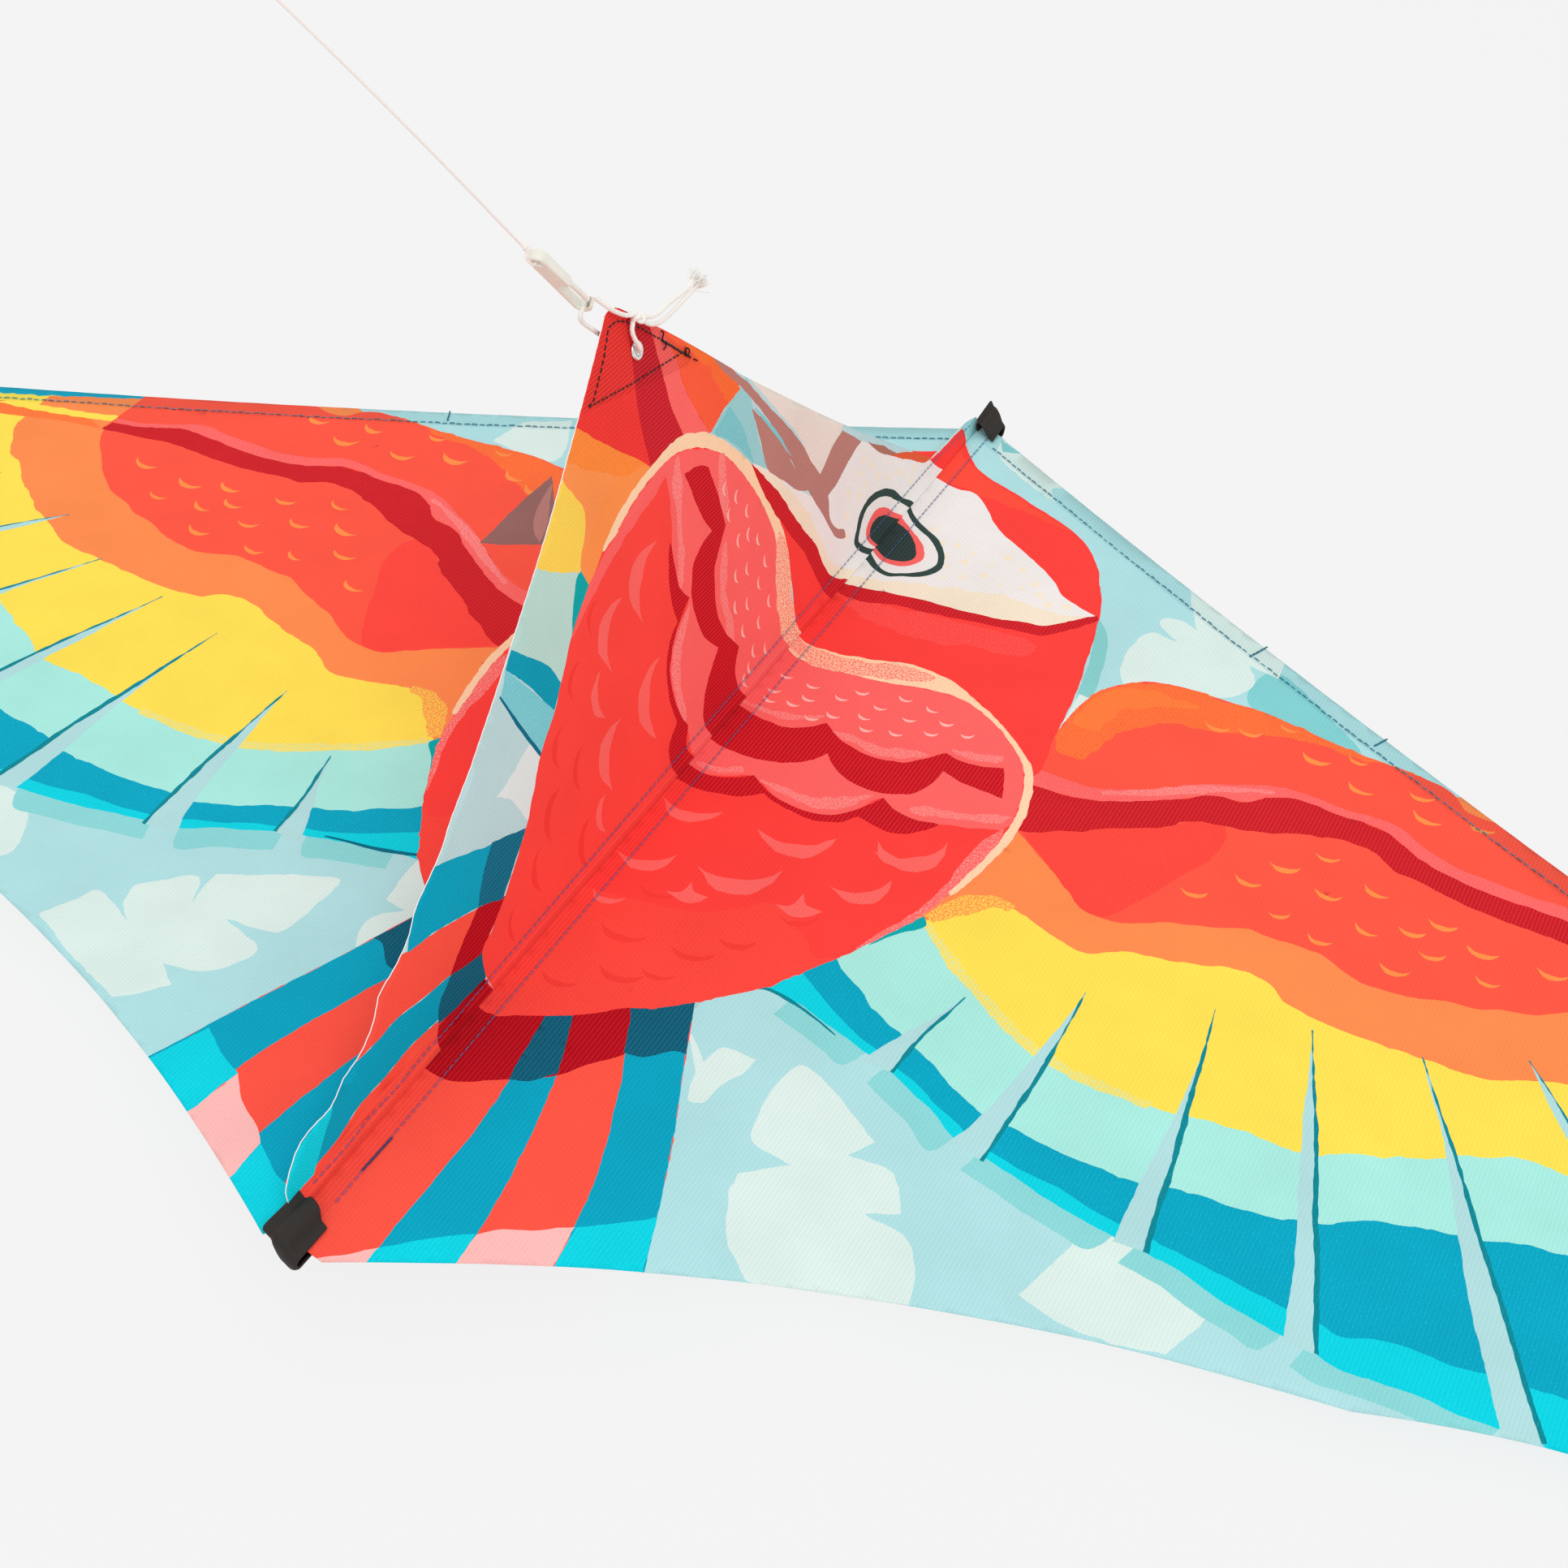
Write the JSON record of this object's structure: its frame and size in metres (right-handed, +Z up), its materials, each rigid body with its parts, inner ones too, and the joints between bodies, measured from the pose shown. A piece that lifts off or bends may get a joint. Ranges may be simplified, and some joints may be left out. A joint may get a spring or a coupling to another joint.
{
  "type": "diamond kite",
  "caption": "Diamond kite with a printed cloth sail, hollow-hemmed edge rods, a fixed keel, a tow loop, a snap clip and the start of its flying line.",
  "frame": {"origin": "middle of the kite, on the surface that its two wing tips rest on", "axes": "+Y along the spine to the nose, +X to the right wing seen from the keel side, +Z up on the keel side"},
  "size_m": [1.1764, 0.63, 0.4117],
  "materials": {
    "sail_cloth": "printed polyester with a fine twill, matte",
    "keel_cloth": "printed polyester with a fine twill, matte",
    "sleeve_tape": "plain woven tape, matte",
    "tab_tape": "ribbed woven tape, matte",
    "glass_fibre_dark": "satin glass fibre rod",
    "glass_fibre_pale": "satin glass fibre rod",
    "moulded_black": "moulded, matte",
    "eyelet_metal": "nickel plated, polished",
    "loop_cord": "braided cord, matte",
    "clip_plastic": "translucent white nylon, glossy",
    "line_cord": "fine twisted line, matte"
  },
  "bodies": {
    "frame": {"sail_right": "sail_cloth", "sail_left": "sail_cloth", "spine_sleeve": "sleeve_tape", "spine_rod": "glass_fibre_dark", "spine_cap_nose": "moulded_black", "spine_cap_tail": "moulded_black", "nose_tab": "tab_tape", "tail_tab": "tab_tape", "centre_fitting": "moulded_black", "spreader_right": "glass_fibre_dark", "spreader_left": "glass_fibre_dark", "connector_right": "moulded_black", "connector_left": "moulded_black", "leading_rod_right": "glass_fibre_pale", "leading_rod_left": "glass_fibre_pale", "wing_cap_right": "moulded_black", "wing_cap_left": "moulded_black"},
    "keel": {"keel": "keel_cloth", "keel_patch": "keel_cloth", "eyelet": "eyelet_metal", "eyelet_washer": "eyelet_metal"},
    "loop": {"tow_loop": "loop_cord"},
    "clip": {"clip_hook": "clip_plastic", "flying_line": "line_cord"},
    "gate": {"clip_gate": "clip_plastic"}
  },
  "joints": [
    {"name": "keel_swing", "type": "hinge", "parent": "frame", "child": "keel", "pos_m": [-0.008, 0, 0.03552], "axis": [0, 1, 0], "range_deg": [-46, 80]},
    {"name": "loop_swing", "type": "hinge", "parent": "keel", "child": "loop", "pos_m": [-0.05838, 0.0209, 0.20029], "axis": [0.9563, 0, 0.2924], "range_deg": [-90, 35]},
    {"name": "clip_swing", "type": "hinge", "parent": "loop", "child": "clip", "pos_m": [-0.06756, -0.0054, 0.23032], "axis": [-0.1801, 0.7878, 0.589], "range_deg": [-20, 20]},
    {"name": "clip_gate", "type": "hinge", "parent": "clip", "child": "gate", "pos_m": [-0.06738, -0.01573, 0.24409], "axis": [-0.1801, 0.7878, 0.589], "range_deg": [0, 24], "stiffness_Nm_per_rad": 0.02, "springref_deg": -5.73}
  ]
}
